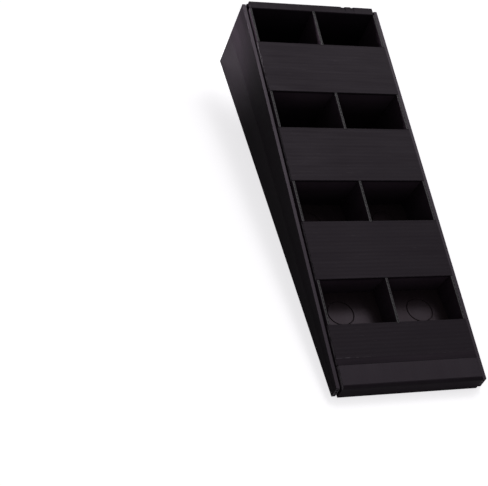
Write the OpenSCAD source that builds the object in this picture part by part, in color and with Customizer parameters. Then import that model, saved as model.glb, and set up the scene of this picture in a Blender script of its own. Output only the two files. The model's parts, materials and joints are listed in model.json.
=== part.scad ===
// Sloped eight-well card tray, folded and slotted from fluted polypropylene board:
// a shell of 4 mm board and an insert of thinner board.
// +X is across the tray, +Y runs to the tall back edge, +Z is up, and the tray rests on Z = 0.

/* [Overall size] */
// Width across the outside of the two side panels
tray_w = 158; // [120:1:240]
// Length of a side panel, front to back
tray_l = 425; // [300:1:600]
// Height of a side panel at the back
back_h = 83; // [50:0.5:140]
// Height of a side panel at the front
front_h = 13.5; // [12:0.5:40]

/* [Board] */
// Thickness of the shell's board
board = 4; // [3:0.5:6]
// Thickness of the insert's board
insert = 2.6; // [2:0.1:5]
// Gap between each side panel and everything inside it
side_gap = 1.4; // [0.2:0.1:3]
// How far the front and back boards stand out past the side panels' ends
end_proud = 1.6; // [0:0.1:4]
// How far the deck stands above the top edges of the side panels
deck_rise = 3; // [0:0.5:4]
// Play left between boards that slot together
slot_play = 0.4; // [0.2:0.1:1]

/* [Wells] */
// Back edge of each well, along the deck from the back of the tray
well_start = [8, 110.5, 215.5, 323]; // [0:0.5:600]
// Length of each well's mouth along the deck
well_len = [41.5, 43, 45, 46]; // [20:0.5:90]
// Diameter of the ring scored in the base under each well
ring_d = 27; // [10:1:36]
// Width of the scored line
ring_w = 0.8; // [0.4:0.1:2]
// Depth of the scored line
ring_depth = 1.2; // [0.4:0.1:3]
// Distance of each ring from the tray's centre line
ring_x = 43; // [20:1:60]

/* [Front and back edges] */
// Where the last deck board bends down, along the deck
step_start = 403; // [380:0.5:420]
// Length of the bent strip
step_len = 6; // [2:0.5:12]
// How far the bent strip drops
step_drop = 1; // [0:0.1:3]
// How much narrower the front lip is at each side
lip_inset = 0.4; // [0:0.1:6]
// How much narrower the back rim is at each side
rim_inset = 1.4; // [0:0.1:6]
// Depth of the back rim, front to back
rim_depth = 9; // [8:0.5:16]

/* [Interlocks] */
// Depth of the notch that a deck board has for the divider's tooth
tooth_notch = 1.5; // [0:0.5:4]

/* [Hidden] */

$fn = 64;
slope = atan((back_h - front_h) / tray_l);
back_y = tray_l / 2;
front_y = -tray_l / 2;
back_face = back_y + end_proud;
front_face = front_y - end_proud;
side_in = tray_w / 2 - board;
half_in = side_in - side_gap;
wall_in = half_in - insert;
leg_half = wall_in - 0.3;
well_end = [for (i = [0:3]) well_start[i] + well_len[i]];
step_end = step_start + step_len;
bridge_end = [well_start[1], well_start[2], well_start[3], step_start];
deck_top = deck_rise;
deck_under = deck_rise - insert;
flap_under = deck_rise - board;
step_under = deck_under - step_drop;
shell_black = [0.16, 0.15, 0.17];
insert_black = [0.20, 0.18, 0.21];

// Y of a point s along the deck and h above the side panels' top edges.
function deck_y(s, h) = back_y - s * cos(slope) - h * sin(slope);

// Z of the same point.
function deck_z(s, h) = back_h - s * sin(slope) + h * cos(slope);

// The same point as [Y, Z].
function on_deck(s, h) = [deck_y(s, h), deck_z(s, h)];

// Z of the plane h above the side panels' top edges, straight above a given Y.
function plane_z(y, h) = back_h - (back_y - y) * tan(slope) + h / cos(slope);

// h at which a board square to the deck meets the height z.
function h_at(s, z) = (z - back_h + s * sin(slope)) / cos(slope);

// Y where a board square to the deck meets the base.
function foot_y(s) = deck_y(s, h_at(s, board));

// h halfway between the underside of the deck and the base.
function mid_h(s) = (deck_under + h_at(s, board)) / 2;

// Extrudes a [Y, Z] outline across the tray, from x0 to x1.
module across(outline, x0, x1) {
    translate([x0, 0, 0])
    rotate([90, 0, 90])
    linear_extrude(height = x1 - x0)
    polygon(outline);
}

// Ring that a scored line takes out of the top of the base.
module scored_ring() {
    difference() {
        cylinder(h = ring_depth + 1, d = ring_d + ring_w);
        translate([0, 0, -1])
        cylinder(h = ring_depth + 3, d = ring_d - ring_w);
    }
}

// Base of the shell, with a ring scored under each well for a disc that can be pressed out.
module base_panel() {
    color(shell_black)
    difference() {
        translate([-side_in, front_face + board, 0])
        cube([2 * side_in, back_face - front_face - 2 * board, board]);
        for (i = [0:3]) {
            well_back = i == 0 ? back_face - rim_depth : foot_y(well_start[i]);
            ring_y = (well_back + foot_y(well_end[i])) / 2;
            for (side = [-1, 1])
            translate([side * ring_x, ring_y, board - ring_depth])
            scored_ring();
        }
    }
}

// One wedge-shaped side of the shell, from x0 to x0 + board.
module side_panel(x0) {
    color(shell_black)
    across([[front_y, 0], [back_y, 0], [back_y, back_h], [front_y, front_h]], x0, x0 + board);
}

module side_panel_left() {
    side_panel(-tray_w / 2);
}

module side_panel_right() {
    side_panel(side_in);
}

// Outer board of the back.
module back_panel() {
    color(shell_black)
    across([
        [back_face, 0],
        [back_face, plane_z(back_face, flap_under)],
        [back_face - board, plane_z(back_face - board, flap_under)],
        [back_face - board, 0]
    ], -half_in, half_in);
}

// Top fold of the back and the board that hangs down inside it.
module back_rim_flap() {
    inner = back_face - rim_depth;
    color(shell_black)
    across([
        [back_face, plane_z(back_face, flap_under)],
        [back_face, plane_z(back_face, deck_top)],
        [inner, plane_z(inner, deck_top)],
        [inner, board],
        [inner + board, board],
        [inner + board, plane_z(inner + board, flap_under)]
    ], -half_in + rim_inset, half_in - rim_inset);
}

// Low upright board at the front.
module front_panel() {
    color(shell_black)
    across([
        [front_face, 0],
        [front_face, plane_z(front_face, flap_under)],
        [front_face + board, plane_z(front_face + board, flap_under)],
        [front_face + board, 0]
    ], -half_in, half_in);
}

// Flap folded back over the front edge.
module front_lip_flap() {
    color(shell_black)
    across([
        [front_face, plane_z(front_face, flap_under)],
        [front_face, plane_z(front_face, deck_top)],
        on_deck(step_end + 0.5, deck_top),
        on_deck(step_end + 0.5, flap_under)
    ], -half_in + lip_inset, half_in - lip_inset);
}

// Outline of a lengthways wall: raised at the wells and lowered under the deck boards.
// reach is how far each raised tooth runs into the deck board in front of it.
function wall_outline(reach) = [
    [back_face - rim_depth, board],
    [back_face - rim_depth, plane_z(back_face - rim_depth, deck_top)],
    on_deck(well_end[0] + reach, deck_top),
    on_deck(well_end[0] + reach, deck_under),
    on_deck(well_start[1], deck_under),
    on_deck(well_start[1], deck_top),
    on_deck(well_end[1] + reach, deck_top),
    on_deck(well_end[1] + reach, deck_under),
    on_deck(well_start[2], deck_under),
    on_deck(well_start[2], deck_top),
    on_deck(well_end[2] + reach, deck_top),
    on_deck(well_end[2] + reach, deck_under),
    on_deck(well_start[3], deck_under),
    on_deck(well_start[3], deck_top),
    on_deck(well_end[3] + reach, deck_top),
    on_deck(well_end[3] + reach, deck_under),
    on_deck(step_start, deck_under),
    on_deck(step_end, step_under),
    on_deck(step_end, flap_under),
    [front_face + board, plane_z(front_face + board, flap_under)],
    [front_face + board, board]
];

module inner_wall_left() {
    color(insert_black)
    across(wall_outline(0), -half_in, -wall_in);
}

module inner_wall_right() {
    color(insert_black)
    across(wall_outline(0), wall_in, half_in);
}

// Cuts the upper half of the divider away where a leg crosses it, and clears the
// tooth that stands over the slot.
module leg_slot(s0) {
    play = slot_play / 2;
    across([
        on_deck(s0 - play, deck_under + play),
        on_deck(s0 + insert + play, deck_under + play),
        on_deck(s0 + insert + play, mid_h(s0) - play),
        on_deck(s0 - play, mid_h(s0) - play)
    ], -board, board);
}

// Long board down the middle, slotted from above for every leg.
module centre_divider() {
    color(insert_black)
    difference() {
        across(wall_outline(tooth_notch - 0.3), -insert / 2, insert / 2);
        for (i = [0:3]) {
            leg_slot(well_end[i]);
            if (i < 3) {
                leg_slot(bridge_end[i] - insert);
            }
        }
    }
}

// Top board of a bridge between two rows of wells.
module deck_board(i) {
    notch_half = (insert + slot_play) / 2;
    color(insert_black)
    difference() {
        across([
            on_deck(well_end[i], deck_under),
            on_deck(well_end[i], deck_top),
            on_deck(bridge_end[i], deck_top),
            on_deck(bridge_end[i], deck_under)
        ], -half_in, half_in);
        across([
            on_deck(well_end[i] - 1, deck_under - 1),
            on_deck(well_end[i] - 1, deck_top + 1),
            on_deck(well_end[i] + tooth_notch, deck_top + 1),
            on_deck(well_end[i] + tooth_notch, deck_under - 1)
        ], -notch_half, notch_half);
    }
}

// Leg of a bridge: square to the deck, cut level where it stands on the base, and
// slotted from below so that it straddles the divider.
module leg(s0) {
    notch_half = (insert + slot_play) / 2;
    color(insert_black)
    difference() {
        across([
            on_deck(s0, deck_under),
            on_deck(s0 + insert, deck_under),
            [foot_y(s0 + insert), board],
            [foot_y(s0), board]
        ], -leg_half, leg_half);
        across([
            on_deck(s0 - 1, mid_h(s0)),
            on_deck(s0 + insert + 1, mid_h(s0)),
            [foot_y(s0 + insert) - 2, 0],
            [foot_y(s0) + 2, 0]
        ], -notch_half, notch_half);
    }
}

module bridge_1_deck() {
    deck_board(0);
}

module bridge_1_rear_leg() {
    leg(well_end[0]);
}

module bridge_1_front_leg() {
    leg(bridge_end[0] - insert);
}

module bridge_2_deck() {
    deck_board(1);
}

module bridge_2_rear_leg() {
    leg(well_end[1]);
}

module bridge_2_front_leg() {
    leg(bridge_end[1] - insert);
}

module bridge_3_deck() {
    deck_board(2);
}

module bridge_3_rear_leg() {
    leg(well_end[2]);
}

module bridge_3_front_leg() {
    leg(bridge_end[2] - insert);
}

module bridge_4_deck() {
    deck_board(3);
}

module bridge_4_rear_leg() {
    leg(well_end[3]);
}

// Strip of the last deck board that bends down in front of the crease.
module bridge_4_step() {
    color(insert_black)
    across([
        on_deck(step_start, deck_under),
        on_deck(step_start, deck_top),
        on_deck(step_end, deck_top - step_drop),
        on_deck(step_end, step_under)
    ], -half_in, half_in);
}

base_panel();
side_panel_left();
side_panel_right();
back_panel();
back_rim_flap();
front_panel();
front_lip_flap();
inner_wall_left();
inner_wall_right();
centre_divider();
bridge_1_deck();
bridge_1_rear_leg();
bridge_1_front_leg();
bridge_2_deck();
bridge_2_rear_leg();
bridge_2_front_leg();
bridge_3_deck();
bridge_3_rear_leg();
bridge_3_front_leg();
bridge_4_deck();
bridge_4_rear_leg();
bridge_4_step();
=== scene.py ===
"""Looks of the sloped eight-well card tray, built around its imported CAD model.

Every length is in metres, in the CAD frame: +X across the tray, +Y towards its tall back,
+Z up, with the tray resting on Z = 0.
"""

import json
import logging
import math
from collections.abc import Callable, Iterable
from dataclasses import dataclass, field
from enum import Enum, IntEnum

import bmesh
import bpy
from bmesh.types import BMEdge, BMesh, BMFace
from bpy.types import Light, Material, Node, NodeSocket, NodeTree, Object
from mathutils import Matrix, Vector

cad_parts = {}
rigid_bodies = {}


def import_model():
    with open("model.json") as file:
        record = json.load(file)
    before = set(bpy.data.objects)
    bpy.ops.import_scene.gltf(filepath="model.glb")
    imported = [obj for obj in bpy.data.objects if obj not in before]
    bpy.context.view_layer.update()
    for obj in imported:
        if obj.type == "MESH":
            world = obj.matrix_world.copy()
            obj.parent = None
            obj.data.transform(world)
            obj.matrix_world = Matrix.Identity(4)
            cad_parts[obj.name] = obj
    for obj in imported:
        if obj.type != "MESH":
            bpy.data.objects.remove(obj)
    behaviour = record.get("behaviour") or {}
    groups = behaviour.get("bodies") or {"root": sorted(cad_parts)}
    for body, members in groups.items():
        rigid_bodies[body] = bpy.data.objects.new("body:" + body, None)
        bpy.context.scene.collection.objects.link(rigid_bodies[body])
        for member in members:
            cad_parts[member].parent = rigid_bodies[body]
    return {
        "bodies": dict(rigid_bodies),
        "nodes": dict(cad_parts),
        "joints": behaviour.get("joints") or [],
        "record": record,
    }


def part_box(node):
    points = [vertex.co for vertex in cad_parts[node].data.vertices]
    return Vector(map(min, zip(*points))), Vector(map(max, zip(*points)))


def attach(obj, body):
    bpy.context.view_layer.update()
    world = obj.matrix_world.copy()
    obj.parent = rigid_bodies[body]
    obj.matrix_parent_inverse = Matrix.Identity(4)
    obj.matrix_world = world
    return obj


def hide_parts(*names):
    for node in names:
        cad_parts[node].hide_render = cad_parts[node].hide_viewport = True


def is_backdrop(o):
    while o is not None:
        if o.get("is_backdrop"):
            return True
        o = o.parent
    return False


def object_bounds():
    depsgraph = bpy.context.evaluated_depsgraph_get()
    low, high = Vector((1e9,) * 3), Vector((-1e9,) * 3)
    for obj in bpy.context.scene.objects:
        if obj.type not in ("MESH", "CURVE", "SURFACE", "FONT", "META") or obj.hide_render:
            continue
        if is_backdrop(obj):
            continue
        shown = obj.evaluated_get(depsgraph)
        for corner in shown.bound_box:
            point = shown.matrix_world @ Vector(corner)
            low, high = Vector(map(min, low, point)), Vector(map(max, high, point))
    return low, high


MM = 0.001
BODY = "root"
COLOUR = {"data_type": "RGBA"}  # a Mix node that mixes colours
POLYPROPYLENE_IOR = 1.49
SHEEN_TINT = "F0DCF2"  # the faint violet of its black pigment

SAME_POINT = 0.001 * MM  # corners closer than this are one corner
SLIVER = 0.002 * MM  # edges shorter than this are taken out
FLAT_ANGLE = math.radians(0.5)  # faces that meet at less are one face
SHARP_ANGLE = math.radians(35)  # edges that turn by more are softened
SQUARE_ON = 0.99  # a face points along an axis if its normal gets this far

log = logging.getLogger("card_tray")


def linear(hex_colour: str) -> tuple[float, float, float, float]:
    """Turns an sRGB hex colour into linear RGBA.

    Args:
        hex_colour: Six hex digits, with or without a leading #.

    Returns:
        Linear red, green and blue, and an alpha of 1.
    """
    digits = hex_colour.lstrip("#")
    channels = [int(digits[i : i + 2], 16) / 255 for i in (0, 2, 4)]
    flat = [c / 12.92 if c <= 0.04045 else ((c + 0.055) / 1.055) ** 2.4 for c in channels]
    return flat[0], flat[1], flat[2], 1.0


class FluteRun(Enum):
    """The way that a board's flutes run."""

    ACROSS = "X"
    ALONG = "Y"
    UPRIGHT = "Z"


# ---------------------------------------------------------------- materials


def add_node(
    tree: NodeTree,
    kind: str,
    settings: dict[str, object] | None = None,
    **inputs: object,
) -> Node:
    """Adds a node with its settings, values and links.

    Args:
        tree: The node tree that takes the node.
        kind: The node's type name.
        settings: Properties of the node itself.
        **inputs: Input name, with _ for a space, or iN for input number N, to a value or to
            an output socket that is linked to it.

    Returns:
        The new node.
    """
    node = tree.nodes.new(kind)
    for name, value in (settings or {}).items():
        setattr(node, name, value)
    for name, value in inputs.items():
        key = int(name[1:]) if name[0] == "i" and name[1:].isdigit() else name.replace("_", " ")
        socket = node.inputs[key]
        if isinstance(value, NodeSocket):
            tree.links.new(value, socket)
        else:
            socket.default_value = value
    return node


def blank_material(name: str) -> tuple[Material, NodeTree, Node]:
    """Makes a node material with only its output.

    Args:
        name: The material's name.

    Returns:
        The material, its node tree and its output node.
    """
    material = bpy.data.materials.new(name)
    material.use_nodes = True
    tree = material.node_tree
    tree.nodes.clear()
    return material, tree, add_node(tree, "ShaderNodeOutputMaterial")


@dataclass(frozen=True)
class BoardSkin:
    """Extruded black polypropylene skin over flutes.

    The skin is smooth off the rollers, with a faint ridge over every flute rib, handling
    haze in long soft streaks and a few pale specks and scuffs.

    Attributes:
        name: The material's name.
        flutes: The way that the flutes run.
        across: Axis that crosses the ribs, once the pattern is turned with the deck.
        roughness: Middle of the skin's roughness.
        roughness_spread: How far the haze moves the roughness either way.
        specular: Specular level.
        dark: Colour where the haze is thin.
        light: Colour where the haze is thick.
        ridge_height: Height of the ridge over a rib, with the grain on it.
        slope: Angle that the pattern is turned by, in radians.
        streak_strength: Share of the streaks; the rest is cloudy haze.
        scuff_share: How far the scuffs spread past their usual few, or below 0 for fewer.
        worn_colour: Colour of scuffed or strained plastic.
        fold_at: Place of a whitened fold down the deck, or None.
        flute_pitch: Distance from one rib to the next.
        streak_width: Width of a streak.
        streak_length: Length of a streak, along the ribs.
        haze_size: Width of a cloud of haze.
        grain_size: Width of the extruded skin's grain.
    """

    name: str
    flutes: FluteRun
    across: str
    roughness: float = 0.48
    roughness_spread: float = 0.06
    specular: float = 0.2
    dark: str = "120D12"
    light: str = "1A141A"
    ridge_height: float = 0.012 * MM
    slope: float = 0.0
    streak_strength: float = 0.5
    scuff_share: float = 0.0
    worn_colour: str = "8A848C"
    fold_at: float | None = None
    flute_pitch: float = 4 * MM
    streak_width: float = 5 * MM
    streak_length: float = 80 * MM
    haze_size: float = 60 * MM
    grain_size: float = 0.7 * MM

    def build(self) -> Material:
        """Builds the material.

        Returns:
            The finished material.
        """
        material, tree, output = blank_material(self.name)
        place = add_node(tree, "ShaderNodeTexCoord").outputs["Object"]
        # Turned with the deck, so that Y runs down the deck and the ribs stay parallel to X.
        turned = add_node(
            tree, "ShaderNodeMapping", Vector=place, Rotation=(-self.slope, 0, 0)
        ).outputs["Vector"]
        axes = add_node(tree, "ShaderNodeSeparateXYZ", Vector=turned).outputs
        handling = self.handling(tree, place, turned)
        tone = add_node(
            tree, "ShaderNodeMapRange", Value=handling, From_Min=0.35, From_Max=0.65
        ).outputs["Result"]
        colour = add_node(
            tree, "ShaderNodeMix", COLOUR, i0=tone, i6=linear(self.dark), i7=linear(self.light)
        ).outputs[2]
        colour = self.wear(tree, self.scuffs(tree, turned), colour)
        if self.fold_at is not None:
            colour = self.wear(tree, self.strained_fold(tree, turned, axes), colour)
        rough = add_node(
            tree,
            "ShaderNodeMapRange",
            Value=handling,
            From_Min=0.3,
            From_Max=0.7,
            To_Min=self.roughness - self.roughness_spread,
            To_Max=self.roughness + self.roughness_spread,
        ).outputs["Result"]
        shader = add_node(
            tree,
            "ShaderNodeBsdfPrincipled",
            Base_Color=colour,
            Roughness=rough,
            IOR=POLYPROPYLENE_IOR,
            Specular_IOR_Level=self.specular,
            Specular_Tint=linear(SHEEN_TINT),
            Normal=self.relief(tree, place, axes[self.across]),
        )
        tree.links.new(shader.outputs["BSDF"], output.inputs["Surface"])
        return material

    def streak_scale(self) -> tuple[float, ...]:
        """Gives the scale that draws a noise out into streaks along the ribs."""
        return tuple(
            1 / (self.streak_length if axis == self.flutes.value else self.streak_width)
            for axis in "XYZ"
        )

    def handling(self, tree: NodeTree, place: NodeSocket, turned: NodeSocket) -> NodeSocket:
        """Mixes clouds of haze with streaks along the ribs, both left by handling.

        Args:
            tree: The material's node tree.
            place: Object coordinates.
            turned: Coordinates that are turned with the deck.

        Returns:
            How thick the haze is, about 0.5 on average.
        """
        drawn_out = add_node(
            tree, "ShaderNodeMapping", Vector=turned, Scale=self.streak_scale()
        ).outputs["Vector"]
        streaks = add_node(
            tree, "ShaderNodeTexNoise", Vector=drawn_out, Scale=1.0, Detail=4.0, Roughness=0.6
        ).outputs["Fac"]
        haze = add_node(
            tree, "ShaderNodeTexNoise", Vector=place, Scale=1 / self.haze_size, Detail=3.0, Roughness=0.5
        ).outputs["Fac"]
        return add_node(
            tree, "ShaderNodeMix", i0=self.streak_strength, i2=haze, i3=streaks
        ).outputs[0]

    def scuffs(self, tree: NodeTree, turned: NodeSocket) -> NodeSocket:
        """Scatters a few scuffs about 1 mm wide and a few millimetres long.

        Args:
            tree: The material's node tree.
            turned: Coordinates that are turned with the deck.

        Returns:
            Share of worn plastic at a point.
        """
        finer = 2.2  # times finer than the streaks, before the noise's own scale
        drawn_out = add_node(
            tree,
            "ShaderNodeMapping",
            Vector=turned,
            Scale=tuple(scale * finer for scale in self.streak_scale()),
        ).outputs["Vector"]
        marks = add_node(
            tree, "ShaderNodeTexNoise", Vector=drawn_out, Scale=2.1, Detail=2.0, Roughness=0.7
        ).outputs["Fac"]
        return add_node(
            tree,
            "ShaderNodeMapRange",
            Value=marks,
            From_Min=0.70 - self.scuff_share,
            From_Max=0.88 - self.scuff_share,
            To_Max=0.22,
        ).outputs["Result"]

    def wear(self, tree: NodeTree, share: NodeSocket, colour: NodeSocket) -> NodeSocket:
        """Lays worn plastic over the skin's colour.

        Args:
            tree: The material's node tree.
            share: Share of worn plastic at a point.
            colour: The skin's colour so far.

        Returns:
            The colour with the wear on it.
        """
        worn = linear(self.worn_colour)
        return add_node(tree, "ShaderNodeMix", COLOUR, i0=share, i6=colour, i7=worn).outputs[2]

    def relief(self, tree: NodeTree, place: NodeSocket, across_ribs: NodeSocket) -> NodeSocket:
        """Raises one faint ridge for each rib, with the grain of the extruded skin on it.

        Args:
            tree: The material's node tree.
            place: Object coordinates.
            across_ribs: Distance across the ribs.

        Returns:
            The bumped normal.
        """
        phase = add_node(
            tree,
            "ShaderNodeMath",
            {"operation": "MULTIPLY"},
            i0=across_ribs,
            i1=2 * math.pi / self.flute_pitch,
        ).outputs[0]
        ridge = add_node(tree, "ShaderNodeMath", {"operation": "SINE"}, i0=phase).outputs[0]
        grain = add_node(
            tree, "ShaderNodeTexNoise", Vector=place, Scale=1 / self.grain_size, Detail=2.0
        ).outputs["Fac"]
        grained = add_node(
            tree, "ShaderNodeMath", {"operation": "MULTIPLY_ADD"}, i0=grain, i1=0.35, i2=ridge
        ).outputs[0]
        return add_node(
            tree, "ShaderNodeBump", Strength=1.0, Distance=self.ridge_height, Height=grained
        ).outputs["Normal"]

    def strained_fold(
        self,
        tree: NodeTree,
        turned: NodeSocket,
        axes: bpy.types.bpy_prop_collection,
    ) -> NodeSocket:
        """Draws the broken line where bending strained the plastic, 1.2 mm wide.

        Args:
            tree: The material's node tree.
            turned: Coordinates that are turned with the deck.
            axes: The same coordinates, one output for each axis.

        Returns:
            Share of strained plastic at a point.
        """
        offset = add_node(
            tree, "ShaderNodeMath", {"operation": "SUBTRACT"}, i0=axes["Y"], i1=self.fold_at
        ).outputs[0]
        apart = add_node(tree, "ShaderNodeMath", {"operation": "ABSOLUTE"}, i0=offset).outputs[0]
        line = add_node(
            tree,
            "ShaderNodeMapRange",
            Value=apart,
            From_Min=0.3 * MM,
            From_Max=0.9 * MM,
            To_Min=1.0,
            To_Max=0.0,
        ).outputs["Result"]
        # Broken into dashes about 9 mm long.
        dashes = add_node(
            tree, "ShaderNodeTexNoise", Vector=turned, Scale=1 / (9 * MM), Detail=3.0, Roughness=0.7
        ).outputs["Fac"]
        broken = add_node(
            tree,
            "ShaderNodeMapRange",
            Value=dashes,
            From_Min=0.50,
            From_Max=0.72,
            To_Min=0.02,
            To_Max=0.20,
        ).outputs["Result"]
        # Strained most near the ends, where the board was gripped to fold it.
        off_middle = add_node(
            tree, "ShaderNodeMath", {"operation": "SUBTRACT"}, i0=axes["X"], i1=6 * MM
        ).outputs[0]
        from_middle = add_node(
            tree, "ShaderNodeMath", {"operation": "ABSOLUTE"}, i0=off_middle
        ).outputs[0]
        gripped = add_node(
            tree,
            "ShaderNodeMapRange",
            Value=from_middle,
            From_Min=20 * MM,
            From_Max=60 * MM,
            To_Min=0.5,
            To_Max=1.8,
        ).outputs["Result"]
        strained = add_node(
            tree, "ShaderNodeMath", {"operation": "MULTIPLY"}, i0=broken, i1=gripped
        ).outputs[0]
        return add_node(
            tree, "ShaderNodeMath", {"operation": "MULTIPLY"}, i0=line, i1=strained
        ).outputs[0]


@dataclass(frozen=True)
class CutEdge:
    """Knife-cut edge of the board: black plastic whitened where the blade sheared it.

    Attributes:
        name: The material's name.
        dark: Colour of clean plastic.
        pale: Colour of sheared plastic.
        patch_size: Size of a whitened patch, a rib or two long.
        drag_size: Width of the marks that the blade dragged.
        drag_depth: Depth of those marks.
    """

    name: str = "cut_fluted_polypropylene_edge"
    dark: str = "242025"
    pale: str = "413C42"
    patch_size: float = 5 * MM
    drag_size: float = 0.5 * MM
    drag_depth: float = 0.15 * MM

    def build(self) -> Material:
        """Builds the material.

        Returns:
            The finished material.
        """
        material, tree, output = blank_material(self.name)
        place = add_node(tree, "ShaderNodeTexCoord").outputs["Object"]
        patches = add_node(
            tree,
            "ShaderNodeTexNoise",
            Vector=place,
            Scale=1 / self.patch_size,
            Detail=3.0,
            Roughness=0.65,
        ).outputs["Fac"]
        share = add_node(
            tree, "ShaderNodeMapRange", Value=patches, From_Min=0.35, From_Max=0.70
        ).outputs["Result"]
        colour = add_node(
            tree, "ShaderNodeMix", COLOUR, i0=share, i6=linear(self.dark), i7=linear(self.pale)
        ).outputs[2]
        drag = add_node(
            tree, "ShaderNodeTexNoise", Vector=place, Scale=1 / self.drag_size, Detail=2.0
        ).outputs["Fac"]
        bump = add_node(
            tree, "ShaderNodeBump", Strength=0.6, Distance=self.drag_depth, Height=drag
        ).outputs["Normal"]
        shader = add_node(
            tree,
            "ShaderNodeBsdfPrincipled",
            Base_Color=colour,
            Roughness=0.5,
            IOR=POLYPROPYLENE_IOR,
            Normal=bump,
        )
        tree.links.new(shader.outputs["BSDF"], output.inputs["Surface"])
        return material


@dataclass(frozen=True)
class StudioFloor:
    """Matt white paper sweep. It is burnt out to the eye and throws back less than it shows.

    Attributes:
        name: The material's name.
        colour: Colour that the paper shows.
        thrown_colour: Colour of the paper to the light that it throws back.
        shown_glow: Glow that it shows.
        thrown_glow: Glow that it throws.
        tooth_size: Width of the paper's tooth.
        tooth_depth: Depth of the tooth.
        gap: Longest light path that counts as inside the gap under the tray.
    """

    name: str = "white_paper_sweep"
    colour: str = "F4F3F5"
    thrown_colour: str = "A8A7A9"
    shown_glow: float = 0.75
    thrown_glow: float = 0.0
    tooth_size: float = 2 * MM
    tooth_depth: float = 0.05 * MM
    gap: float = 0.5 * MM

    def build(self) -> Material:
        """Builds the material.

        Returns:
            The finished material.
        """
        material, tree, output = blank_material(self.name)
        place = add_node(tree, "ShaderNodeTexCoord").outputs["Object"]
        tooth = add_node(
            tree, "ShaderNodeTexNoise", Vector=place, Scale=1 / self.tooth_size, Detail=2.0
        ).outputs["Fac"]
        bump = add_node(
            tree, "ShaderNodeBump", Strength=0.1, Distance=self.tooth_depth, Height=tooth
        ).outputs["Normal"]
        path = add_node(tree, "ShaderNodeLightPath").outputs
        seen = path["Is Camera Ray"]
        glow = add_node(
            tree, "ShaderNodeMapRange", Value=seen, To_Min=self.thrown_glow, To_Max=self.shown_glow
        ).outputs["Result"]
        shown, thrown = linear(self.colour), linear(self.thrown_colour)
        paper = add_node(tree, "ShaderNodeMix", COLOUR, i0=seen, i6=thrown, i7=shown).outputs[2]
        shader = add_node(
            tree,
            "ShaderNodeBsdfPrincipled",
            Base_Color=paper,
            Roughness=0.9,
            Emission_Color=shown,
            Emission_Strength=glow,
            Normal=bump,
        )
        # Clear from below, and to light that comes out of the gap under the tray, so that the
        # tray's underside can be looked at.
        below = add_node(tree, "ShaderNodeNewGeometry").outputs["Backfacing"]
        in_gap = add_node(
            tree, "ShaderNodeMath", {"operation": "LESS_THAN"}, i0=path["Ray Length"], i1=self.gap
        ).outputs[0]
        open_here = add_node(
            tree, "ShaderNodeMath", {"operation": "MAXIMUM"}, i0=below, i1=in_gap
        ).outputs[0]
        clear = add_node(tree, "ShaderNodeBsdfTransparent")
        mixed = add_node(
            tree, "ShaderNodeMixShader", i0=open_here, i1=shader.outputs[0], i2=clear.outputs[0]
        )
        tree.links.new(mixed.outputs[0], output.inputs["Surface"])
        return material


# ---------------------------------------------------------------- boards


class Dress(IntEnum):
    """The material slots of a board; the last two are a side panel's own."""

    SKIN = 0
    EDGE = 1
    GLOSS = 2
    ROLLED = 3


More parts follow.
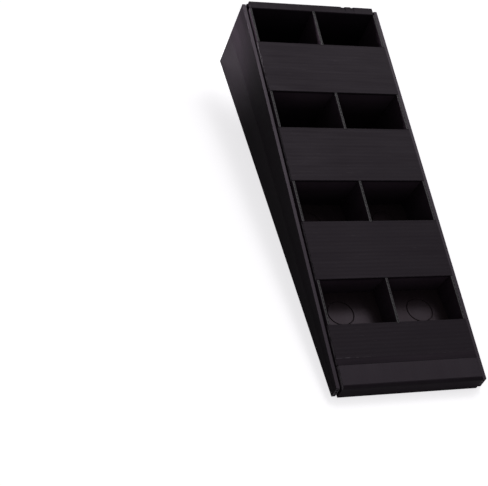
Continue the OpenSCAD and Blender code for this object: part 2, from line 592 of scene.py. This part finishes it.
@dataclass
class Board:
    """One panel of fluted board, made from a merged copy of its CAD node.

    Attributes:
        node: The CAD node that the panel stands for.
        slot: The record's material slot; not used.
        skin: Material of the two skins.
        edge: Material of cut edges and flute cells.
        edge_radius: Radius on the cut edges.
        fold_radius: Radius on the outer corners of folds.
        folds: Tests that pick the edges of folds.
        seams: Tests that pick the edges that run on into another panel.
        open_ends: Tests that pick the faces that show the flutes end on.
        flute_pitch: Distance from one rib to the next.
        rib: Thickness of the plastic round a flute cell.
        cell_depth: How deep a flute cell is modelled.
        cell_taper: How far a cell's walls lean in at its bottom.
    """

    node: str
    slot: str
    skin: Material
    edge: Material
    edge_radius: float = 0.3 * MM
    fold_radius: float = 1.8 * MM
    folds: list[Callable[[BMEdge], bool]] = field(default_factory=list)
    seams: list[Callable[[BMEdge], bool]] = field(default_factory=list)
    open_ends: list[Callable[[BMFace], bool]] = field(default_factory=list)
    flute_pitch: float = 4.0 * MM
    rib: float = 0.7 * MM
    cell_depth: float = 0.5 * MM
    cell_taper: float = 0.15 * MM

    def mesh(self, source: Object) -> BMesh:
        """Copies the CAD node and merges its triangles into flat faces.

        Args:
            source: The CAD node's object.

        Returns:
            A closed bmesh with one face for each flat side.
        """
        bm = bmesh.new()
        bm.from_mesh(source.data)
        bmesh.ops.remove_doubles(bm, verts=bm.verts[:], dist=SAME_POINT)
        bmesh.ops.dissolve_limit(bm, angle_limit=FLAT_ANGLE, verts=bm.verts[:], edges=bm.edges[:])
        for face in bm.faces:
            face.material_index = Dress.SKIN
            face.smooth = False
        bm.normal_update()
        return bm

    def round_edges(self, bm: BMesh) -> None:
        """Rounds the fold corners, then takes the sharpness off every other edge.

        Args:
            bm: The board's mesh.
        """
        folded = [e for e in bm.edges if any(test(e) for test in self.folds)]
        self.bevel(bm, folded, self.fold_radius, 5)
        sharp = [
            e
            for e in bm.edges
            if len(e.link_faces) == 2
            and e.calc_face_angle(0.0) > SHARP_ANGLE
            and not any(test(e) for test in self.seams)
        ]
        self.bevel(bm, sharp, self.edge_radius, 2)
        bmesh.ops.dissolve_degenerate(bm, dist=SLIVER, edges=bm.edges[:])
        bm.normal_update()

    def bevel(self, bm: BMesh, edges: list[BMEdge], radius: float, segments: int) -> None:
        """Rounds some edges.

        Args:
            bm: The board's mesh.
            edges: The edges; there may be none.
            radius: Radius of the rounding.
            segments: Faces across it.
        """
        if edges:
            bmesh.ops.bevel(
                bm,
                geom=edges,
                offset=radius,
                offset_type="OFFSET",
                segments=segments,
                profile=0.5,
                affect="EDGES",
                material=-1,
                clamp_overlap=True,
            )
        bm.normal_update()

    def open_flutes(self, bm: BMesh) -> None:
        """Cuts the open flute cells into the board's chosen ends.

        Args:
            bm: The board's mesh.
        """
        for end in [f for f in bm.faces if any(test(f) for test in self.open_ends)]:
            for piece in self.split_along(bm, end):
                self.sink_cell(bm, piece)

    def split_along(self, bm: BMesh, end: BMFace) -> list[BMFace]:
        """Splits a long end face into one piece for each flute.

        Args:
            bm: The board's mesh.
            end: The end face.

        Returns:
            The pieces.
        """
        longest = max(end.edges, key=lambda e: e.calc_length())
        start, stop = (v.co.copy() for v in longest.verts)
        length = (stop - start).length
        run = (stop - start).normalized()
        count = max(1, round(length / self.flute_pitch))
        normal, plane_at = end.normal.copy(), end.calc_center_median()
        end.material_index = Dress.EDGE
        faces = [end]
        for i in range(1, count):
            edges = dict.fromkeys(e for f in faces for e in f.edges)
            corners = dict.fromkeys(v for f in faces for v in f.verts)
            cut = bmesh.ops.bisect_plane(
                bm,
                geom=[*faces, *edges, *corners],
                plane_co=start + run * (length * i / count),
                plane_no=run,
            )
            faces = [
                f
                for f in cut["geom"]
                if isinstance(f, BMFace)
                and f.normal.dot(normal) > 0.999
                and abs((f.calc_center_median() - plane_at).dot(normal)) < 0.01 * MM
            ]
        return faces

    def sink_cell(self, bm: BMesh, piece: BMFace) -> None:
        """Leaves a rib round one piece of an end face and sinks its middle.

        Args:
            bm: The board's mesh.
            piece: The piece of the end face.
        """
        too_small = (self.rib * 3) ** 2  # no room for a cell between its ribs
        if piece.calc_area() < too_small:
            return
        bmesh.ops.inset_individual(bm, faces=[piece], thickness=self.rib, depth=0.0)
        bmesh.ops.inset_individual(
            bm, faces=[piece], thickness=self.cell_taper, depth=-self.cell_depth
        )

    def build(self, frame: dict) -> Object:
        """Builds the panel and puts it in the place of its CAD node.


        Returns:
            The panel's object.
        """
        bm = self.mesh(frame["nodes"][self.node])
        self.round_edges(bm)
        self.open_flutes(bm)
        self.finish_mesh(bm)
        bmesh.ops.dissolve_degenerate(bm, dist=SLIVER, edges=bm.edges[:])
        data = bpy.data.meshes.new(self.node + "_board")
        bm.to_mesh(data)
        bm.free()
        for material in (self.skin, self.edge, *self.extra_materials()):
            data.materials.append(material)
        piece = bpy.data.objects.new(self.node + "_board", data)
        bpy.context.scene.collection.objects.link(piece)
        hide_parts(self.node)
        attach(piece, BODY)
        log.info("%s: %d faces", piece.name, len(data.polygons))
        return piece

    def finish_mesh(self, bm: BMesh) -> None:
        """Changes the mesh once its flutes are open; most panels need nothing."""

    def extra_materials(self) -> list[Material]:
        """Gives the finishes that only one kind of panel has."""
        return []


# ---------------------------------------------------------------- the sloping deck


@dataclass(frozen=True)
class DeckLine:
    """The plane through the side panels' top edges, which the deck boards follow.

    Attributes:
        back_y: Y of the tray's back.
        back_height: Height of a side panel at the back.
        front_height: Height of a side panel at the front.
        length: Length of the tray.
        rise: How far the deck's top stands above the plane.
        board: Thickness of the shell's board.
        insert: Thickness of the insert's board.
        end_proud: How far the front and back boards stand past the side panels.
        fold_distance: Distance from the back to the fold in the last deck board.
    """

    back_y: float
    back_height: float
    length: float
    front_height: float = 13.5 * MM
    rise: float = 3 * MM
    board: float = 4 * MM
    insert: float = 2.6 * MM
    end_proud: float = 1.6 * MM
    fold_distance: float = 403 * MM

    @property
    def slope(self) -> float:
        """Angle of the deck to the table, in radians."""
        return math.atan2(self.back_height - self.front_height, self.length)

    def along(self, co: Vector) -> float:
        """Distance of a point from the back, down the deck."""
        return (self.back_y - co.y) * math.cos(self.slope) + (self.back_height - co.z) * math.sin(
            self.slope
        )

    def above(self, co: Vector) -> float:
        """Distance of a point from the plane, upwards and square to it."""
        return (self.back_y - co.y) * math.sin(self.slope) - (self.back_height - co.z) * math.cos(
            self.slope
        )

    def normal(self) -> Vector:
        """Direction square to the deck, upwards."""
        return Vector((0, -math.sin(self.slope), math.cos(self.slope)))


def runs_across(edge: BMEdge) -> bool:
    """Says whether an edge is parallel to X."""
    a, b = (v.co for v in edge.verts)
    return abs(a.x - b.x) > 0.999 * edge.calc_length()


def near(value: float, target: float, play: float = 0.05 * MM) -> bool:
    """Says whether two lengths are the same."""
    return abs(value - target) < play


# ---------------------------------------------------------------- the shell


@dataclass
class SidePanel(Board):
    """Wedge-shaped side of the shell, glossy below a pressed line at half its height.

    Attributes:
        deck: The sloping plane at the panel's top edge.
        gloss: Material below the pressed line.
        rolled: Material of the rounded top edge.
        outward: +1 for the right panel and -1 for the left one.
        line_width: Width of the pressed line.
        line_depth: Depth of the pressed line.
    """

    deck: DeckLine | None = None
    gloss: Material | None = None
    rolled: Material | None = None
    outward: int = 1
    line_width: float = 0.9 * MM
    line_depth: float = 0.25 * MM

    def below_line(self, co: Vector) -> float:
        """Measures down from the pressed line, which joins the two half heights.

        Args:
            co: A point on the panel.

        Returns:
            Distance of the point below the line.
        """
        back, front = self.deck.back_height / 2, self.deck.front_height / 2
        share = (self.deck.back_y - co.y) / self.deck.length
        return back + (front - back) * share - co.z

    def finish_mesh(self, bm: BMesh) -> None:
        """Presses the line into the outer face, and sorts the faces by finish.

        Args:
            bm: The panel's mesh.
        """
        rise = (self.deck.back_height - self.deck.front_height) / 2
        across_line = Vector((0, -rise, self.deck.length)).normalized()
        middle = Vector((0, self.deck.back_y, self.deck.back_height / 2))
        for step in (-1, 0, 1):
            bmesh.ops.bisect_plane(
                bm,
                geom=[*bm.verts, *bm.edges, *bm.faces],
                plane_co=middle + across_line * (step * self.line_width / 2),
                plane_no=across_line,
            )
        bm.normal_update()
        for vert in bm.verts:
            on_face = all(f.normal.x * self.outward > SQUARE_ON for f in vert.link_faces)
            if on_face and abs((vert.co - middle).dot(across_line)) < 0.01 * MM:
                vert.co.x -= self.outward * self.line_depth
        for face in bm.faces:
            outer = face.normal.x * self.outward > 0.7
            if outer and self.below_line(face.calc_center_median()) > 0:
                face.material_index = Dress.GLOSS
            elif face.normal.dot(self.deck.normal()) > 0.5:
                face.material_index = Dress.ROLLED

    def extra_materials(self) -> list[Material]:
        """Gives the glossy finish of the lower zone and the finish of the top edge."""
        return [self.gloss, self.rolled]


@dataclass
class RimFlap(Board):
    """Top fold of the back, with two small nicks worn into its outer edge.

    Attributes:
        nicks: Left end, right end and depth of each nick.
        worn: How far from the corner a nick reaches.
        ramp: Length of the slope at each end of a nick.
        lean: How far a nick reaches inwards, as a share of its depth.
    """

    nicks: tuple[tuple[float, float, float], ...] = (
        (34.5 * MM, 39.5 * MM, 0.6 * MM),
        (46 * MM, 49.5 * MM, 0.5 * MM),
    )
    worn: float = 1.7 * MM
    ramp: float = 1.0 * MM
    lean: float = 0.7

    def finish_mesh(self, bm: BMesh) -> None:
        """Presses the nicks into the rounded outer edge and bares the plastic there.

        Args:
            bm: The flap's mesh.
        """
        top = max(v.co.z for v in bm.verts)
        outer = max(v.co.y for v in bm.verts)
        for left, right, depth in self.nicks:
            for x in (left, left + self.ramp, right - self.ramp, right):
                bmesh.ops.bisect_plane(
                    bm,
                    geom=[*bm.verts, *bm.edges, *bm.faces],
                    plane_co=Vector((x, 0, 0)),
                    plane_no=Vector((1, 0, 0)),
                )
            pressed = {
                v
                for v in bm.verts
                if left + self.ramp / 2 < v.co.x < right - self.ramp / 2
                and v.co.z > top - self.worn
                and v.co.y > outer - self.worn
            }
            for vert in pressed:
                vert.co += Vector((0, -self.lean * depth, -depth))
            touched = [f for f in bm.faces if pressed & set(f.verts)]
            for face in touched:
                # Only the rounded corner shows bare plastic, not the flat top or back.
                if face.normal.y > 0.15 and 0.15 < face.normal.z < 0.97:
                    face.material_index = Dress.EDGE
            bmesh.ops.triangulate(bm, faces=touched)
            bm.normal_update()


@dataclass
class LipFlap(Board):
    """Flap folded back over the front, whose left and right sides are cut edges."""

    def finish_mesh(self, bm: BMesh) -> None:
        """Gives the cut sides their finish.

        Args:
            bm: The flap's mesh.
        """
        for face in bm.faces:
            if abs(face.normal.x) > 0.9:
                face.material_index = Dress.EDGE


@dataclass
class Shell:
    """The folded outer box: base, sides, back with its rim, and front with its lip.

    Attributes:
        deck: The deck, which the panels follow.
        finishes: Finish name to material.
        slot: The record's material slot.
    """

    deck: DeckLine
    finishes: dict[str, Material]
    slot: str = "shell_board"

    def panels(self) -> Iterable[Board]:
        """Gives the shell's panels, bottom first.

        Returns:
            The panels.
        """
        skin, edge = self.finishes["shell"], self.finishes["edge"]
        deck, board = self.deck, self.deck.board
        front_y = deck.back_y - deck.length - deck.end_proud
        yield Board("base_panel", self.slot, self.finishes["base"], edge)
        for name, outward in (("side_panel_left", -1), ("side_panel_right", 1)):
            yield SidePanel(
                name,
                self.slot,
                self.finishes["side"],
                self.finishes["sheared"],
                edge_radius=0.35 * MM,
                open_ends=[lambda f: abs(f.normal.y) > SQUARE_ON],
                cell_depth=1.2 * MM,
                deck=deck,
                gloss=self.finishes["gloss"],
                rolled=self.finishes["rolled"],
                outward=outward,
            )
        seam = [
            lambda e: runs_across(e)
            and near(deck.above(e.verts[0].co), deck.rise - board, 0.7 * MM)
        ]
        yield Board("back_panel", self.slot, skin, edge, seams=seam)
        yield RimFlap(
            "back_rim_flap",
            self.slot,
            skin,
            self.finishes["sheared"],
            seams=seam,
            folds=[lambda e: runs_across(e) and near(deck.above(e.verts[0].co), deck.rise, 1.5 * MM)],
            fold_radius=0.9 * MM,
        )
        strip = self.finishes["strip"]
        yield Board("front_panel", self.slot, strip, edge, seams=seam)
        yield LipFlap(
            "front_lip_flap",
            self.slot,
            self.finishes["lip"],
            self.finishes["sheared"],
            seams=[
                lambda e: runs_across(e)
                and near(e.verts[0].co.y, front_y)
                and deck.above(e.verts[0].co) < 0
            ],
            folds=[
                lambda e: runs_across(e)
                and near(e.verts[0].co.y, front_y)
                and deck.above(e.verts[0].co) > 0
            ],
            open_ends=[lambda f: f.normal.y > 0.9],
            rib=0.55 * MM,
            fold_radius=3.0 * MM,
            cell_depth=1.0 * MM,
        )


# ---------------------------------------------------------------- the insert


@dataclass
class InsertFrame:
    """The three lengthways boards that stand in the shell, between and beside the wells.

    Attributes:
        deck: The deck, which the panels follow.
        finishes: Finish name to material.
        slot: The record's material slot.
    """

    deck: DeckLine
    finishes: dict[str, Material]
    slot: str = "insert_board"

    def panels(self) -> Iterable[Board]:
        """Gives the lengthways boards from left to right.

        Returns:
            The boards.
        """
        up = self.deck.normal()

        def tooth_top(face: BMFace) -> bool:
            """Says whether a face is the open top of a tooth in a well."""
            level = near(self.deck.above(face.calc_center_median()), self.deck.rise, 0.2 * MM)
            return face.normal.dot(up) > 0.999 and level

        for name in ("inner_wall_left", "centre_divider", "inner_wall_right"):
            yield Board(
                name,
                self.slot,
                self.finishes["wall"],
                self.finishes["edge"],
                edge_radius=0.2 * MM,
                open_ends=[tooth_top],
                rib=0.75 * MM,
            )


@dataclass
class Bridges:
    """The four folded boards that bridge the rows of wells.

    Attributes:
        deck: The deck, which the panels follow.
        finishes: Finish name to material.
        slot: The record's material slot.
    """

    deck: DeckLine
    finishes: dict[str, Material]
    slot: str = "insert_board"

    def panels(self) -> Iterable[Board]:
        """Gives the panels of every bridge, from the back to the front.

        Returns:
            The panels.
        """
        deck, edge, sheared = self.deck, self.finishes["edge"], self.finishes["sheared"]
        under, top = deck.rise - deck.insert, deck.rise
        by_sides = 50 * MM  # past this from the middle, a deck's end is at the tray's side
        fold_seam = [lambda e: runs_across(e) and near(deck.above(e.verts[0].co), under)]
        crease = [
            lambda e: runs_across(e) and near(deck.along(e.verts[0].co), deck.fold_distance, 0.3 * MM)
        ]
        for number in (1, 2, 3, 4):
            yield Board(
                f"bridge_{number}_deck",
                self.slot,
                self.finishes["fold" if number == 4 else "deck"],
                sheared,
                seams=fold_seam + crease,
                folds=[
                    lambda e: runs_across(e)
                    and near(deck.above(e.verts[0].co), top)
                    and not near(deck.along(e.verts[0].co), deck.fold_distance, 0.3 * MM)
                ],
                open_ends=[
                    lambda f: abs(f.normal.x) > SQUARE_ON
                    and abs(f.calc_center_median().x) > by_sides
                ],
                fold_radius=1.2 * MM,
                edge_radius=0.2 * MM,
            )
            for leg in ("rear_leg", "front_leg") if number < 4 else ("rear_leg",):
                yield Board(
                    f"bridge_{number}_{leg}",
                    self.slot,
                    self.finishes["leg"],
                    edge,
                    seams=fold_seam,
                )
        yield Board(
            "bridge_4_step",
            self.slot,
            self.finishes["strip"],
            sheared,
            seams=[runs_across],
            open_ends=[lambda f: abs(f.normal.x) > SQUARE_ON],
        )


# ---------------------------------------------------------------- the studio


@dataclass(frozen=True)
class SoftLight:
    """One square soft light that hangs over the tray and faces it.

    Attributes:
        name: The light's name.
        direction: Direction from the tray to the light.
        distance: Distance from the tray.
        size: Width of the light.
        power: Power in watts.
    """

    name: str
    direction: tuple[float, float, float]
    distance: float
    size: float
    power: float


@dataclass
class Studio:
    """White sweep, soft lights mostly from behind on the right, and the camera.

    Attributes:
        eye: Where the camera stands.
        aim: What the camera points at.
        roll: How far the camera is rolled, so that the tray leans as it should.
        lens: Focal length in millimetres, for a sensor 36 mm wide.
        ambient: Strength of the light from all round.
        floor_size: Half the width of the sweep.
        floor_gap: How far the sweep lies below the tray.
        soft_lights: The soft lights.
        pool_place: Where the light stands that makes a small pool on the near side.
        pool_target: Middle of the pool, on the back corner of the near side.
        pool_radius: Radius of the pool.
        pool_softness: Radius of the light that makes the pool.
        pool_power: Power of that light in watts.
    """

    eye: Vector = field(default_factory=lambda: Vector((-0.5985, -0.7366, 0.9197)))
    aim: Vector = field(default_factory=lambda: Vector((-0.1171, -0.0364, 0.0)))
    roll: float = math.radians(25.764)
    lens: float = 95.524
    ambient: float = 0.19
    floor_size: float = 12.0
    floor_gap: float = 0.1 * MM
    soft_lights: tuple[SoftLight, ...] = (
        SoftLight("key", (0.33, 0.50, 0.80), distance=4.5, size=1.3, power=33.0),
        SoftLight("overhead", (0.49, 0.26, 0.83), distance=4.5, size=1.8, power=18.0),
        SoftLight("fill", (-0.12, -0.85, 0.22), distance=3.5, size=2.0, power=11.0),
    )
    pool_place: Vector = field(default_factory=lambda: Vector((-0.42, 0.38, 0.11)))
    pool_target: Vector = field(default_factory=lambda: Vector((-0.079, 0.206, 0.043)))
    pool_radius: float = 60 * MM
    pool_softness: float = 40 * MM
    pool_power: float = 27.0

    def floor(self) -> Object:
        """Lays the sweep.

        Returns:
            The floor's object.
        """
        bm = bmesh.new()
        below = Matrix.Translation((0, 0, -self.floor_gap))
        bmesh.ops.create_grid(bm, x_segments=1, y_segments=1, size=self.floor_size, matrix=below)
        data = bpy.data.meshes.new("white_sweep")
        bm.to_mesh(data)
        bm.free()
        data.materials.append(StudioFloor().build())
        sweep = bpy.data.objects.new("white_sweep", data)
        bpy.context.scene.collection.objects.link(sweep)
        sweep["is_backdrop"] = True
        return sweep

    def sky(self) -> None:
        """Fills in from all round, dimly, with plain white behind the floor's edge."""
        world = bpy.data.worlds.new("studio_sky")
        bpy.context.scene.world = world
        world.use_nodes = True
        tree = world.node_tree
        tree.nodes.clear()
        seen = add_node(tree, "ShaderNodeLightPath").outputs["Is Camera Ray"]
        dim = add_node(tree, "ShaderNodeBackground", Color=linear("FFFFFF"), Strength=self.ambient)
        white = add_node(tree, "ShaderNodeBackground", Color=linear("FFFFFF"), Strength=1.0)
        mixed = add_node(
            tree, "ShaderNodeMixShader", i0=seen, i1=dim.outputs[0], i2=white.outputs[0]
        )
        add_node(tree, "ShaderNodeOutputWorld", Surface=mixed.outputs[0])

    def hang(self, data: Light, place: Vector, towards: Vector) -> None:
        """Hangs a light that the camera doesn't see.

        Args:
            data: The light.
            place: Where it hangs.
            towards: Direction that it shines in.
        """
        light = bpy.data.objects.new(data.name, data)
        bpy.context.scene.collection.objects.link(light)
        light.location = place
        light.rotation_euler = towards.to_track_quat("-Z", "Y").to_euler()
        light.visible_camera = False

    def lights(self) -> None:
        """Hangs the soft lights, and the one that makes the pool on the near side."""
        for lamp in self.soft_lights:
            data = bpy.data.lights.new(lamp.name, "AREA")
            data.shape = "SQUARE"
            data.size = lamp.size
            data.energy = lamp.power
            direction = Vector(lamp.direction)
            self.hang(data, direction.normalized() * lamp.distance, -direction)
        towards = self.pool_target - self.pool_place
        snoot = bpy.data.lights.new("snoot", "SPOT")
        snoot.spot_size = 2 * math.atan2(self.pool_radius, towards.length)
        snoot.spot_blend = 1.0
        snoot.shadow_soft_size = self.pool_softness
        snoot.energy = self.pool_power
        self.hang(snoot, self.pool_place, towards)

    def camera(self) -> None:
        """Sets the camera up, and rolls it."""
        data = bpy.data.cameras.new("camera")
        data.lens = self.lens
        data.sensor_width = 36.0
        data.clip_end = 60.0
        camera = bpy.data.objects.new("camera", data)
        bpy.context.scene.collection.objects.link(camera)
        turn = (self.aim - self.eye).to_track_quat("-Z", "Y").to_matrix().to_4x4()
        camera.matrix_world = (
            Matrix.Translation(self.eye) @ turn @ Matrix.Rotation(self.roll, 4, "Z")
        )
        bpy.context.scene.camera = camera

    def build(self) -> None:
        """Builds the floor, the lights and the camera."""
        self.floor()
        self.sky()
        self.lights()
        self.camera()
        bpy.context.scene.view_settings.view_transform = "Standard"
        bpy.context.scene.view_settings.look = "None"


# ---------------------------------------------------------------- the whole tray


def make_finishes(deck: DeckLine) -> dict[str, Material]:
    """Builds every finish on the tray.

    Args:
        deck: The deck, which the patterns follow.

    Returns:
        Finish name to material.
    """
    slope, along, across = deck.slope, FluteRun.ALONG, FluteRun.ACROSS
    # Where the fold lies in the pattern's own coordinates, which are turned with the deck.
    fold_at = (
        deck.back_y * math.cos(slope) + deck.back_height * math.sin(slope) - deck.fold_distance
    )
    on_deck = {"slope": slope, "streak_strength": 0.6, "scuff_share": 0.02}
    # Inside the wells: lighter than the outer skin, as painted light that lifts their shade.
    inside = {"dark": "2B222A", "light": "362D35", "ridge_height": 0.01 * MM, "scuff_share": 0.01}
    finishes = {
        # Outside of the shell: the same satin black all over, with a low even sheen.
        "shell": BoardSkin(
            "extruded_polypropylene_shell_skin",
            along,
            "X",
            roughness=0.47,
            specular=0.17,
            ridge_height=0.008 * MM,
            streak_strength=0.4,
        ),
        # Floor of the wells: lighter than the outer skin, as painted light that lifts the shade in the
        # wells; it goes grey where the lamps' light falls in.
        "base": BoardSkin(
            "extruded_polypropylene_base_skin",
            along,
            "X",
            roughness=0.42,
            dark="30272B",
            light="3A3034",
            ridge_height=0.008 * MM,
            streak_strength=0.4,
        ),
        # Sides above their pressed line: satin, with ribs that run to the front.
        "side": BoardSkin(
            "satin_polypropylene_side_skin",
            along,
            "Z",
            roughness=0.45,
            ridge_height=0.008 * MM,
            scuff_share=0.01,
        ),
        # Sides below their pressed line: rubbed until they mirror what is near.
        "gloss": BoardSkin(
            "glossy_polypropylene_side_skin",
            along,
            "Z",
            roughness=0.17,
            roughness_spread=0.03,
            specular=0.3,
            ridge_height=0.004 * MM,
            streak_strength=0.3,
        ),
        # Lip: handled most, so it is smoother and catches more light.
        "lip": BoardSkin(
            "extruded_polypropylene_lip_skin",
            along,
            "X",
            roughness=0.38,
            specular=0.29,
            ridge_height=0.006 * MM,
            slope=slope,
            scuff_share=-0.1,
        ),
        # Decks: the ribs show as fine lines from side to side.
        "deck": BoardSkin("ribbed_polypropylene_deck_skin", across, "Y", **on_deck),
        # The last deck: the same, with a pale line along its fold.
        "fold": BoardSkin(
            "folded_polypropylene_deck_skin", across, "Y", fold_at=fold_at, **on_deck
        ),
        # The strip that bends down and the front board: they face the front, and are a little greyer, as
        # painted light that lifts their shade.
        "strip": BoardSkin(
            "bent_polypropylene_strip_skin",
            across,
            "Y",
            specular=0.3,
            dark="1D171D",
            light="272027",
            **on_deck,
        ),
        # Legs and lengthways boards: lighter inside the wells, like the base, as painted light that
        # lifts the wells' shade.
        "leg": BoardSkin(
            "ribbed_polypropylene_leg_skin", across, "Z", slope=slope, **inside
        ),
        "wall": BoardSkin("ribbed_polypropylene_wall_skin", FluteRun.UPRIGHT, "Y", **inside),
        # Rolled top edges of the sides: worn smooth, and lighter than the skin, which partly paints the
        # highlight on the rounded edge, so they show as thin grey lines.
        "rolled": BoardSkin(
            "rolled_polypropylene_top_edge",
            along,
            "X",
            roughness=0.40,
            roughness_spread=0.05,
            specular=0.34,
            dark="1E191E",
            light="2A232A",
            ridge_height=0.004 * MM,
            slope=slope,
            scuff_share=0.02,
        ),
        # Cut edges: matt and slightly grey. Where the flutes end they are paler still, partly from shear
        # whitening and partly as painted light that lifts the shade on these end faces.
        "edge": CutEdge(),
        "sheared": CutEdge("sheared_fluted_end_with_painted_light", dark="4A454B", pale="7C757C"),
    }
    return {name: finish.build() for name, finish in finishes.items()}


def main(frame: dict, cad_box: tuple[Vector, Vector]) -> None:
    """Builds the whole tray and its studio.
    """
    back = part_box("side_panel_left")
    deck = DeckLine(back_y=back[1].y, back_height=back[1].z, length=back[1].y - back[0].y)
    finishes = make_finishes(deck)
    count = 0
    for assembly in (Shell(deck, finishes), InsertFrame(deck, finishes), Bridges(deck, finishes)):
        for panel in assembly.panels():
            panel.build(frame)
            count += 1
    Studio().build()
    log.info("%d panels", count)


if __name__ == "__main__":
    logging.basicConfig(level=logging.INFO, format="%(name)s %(message)s")
    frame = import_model()
    main(frame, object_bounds())
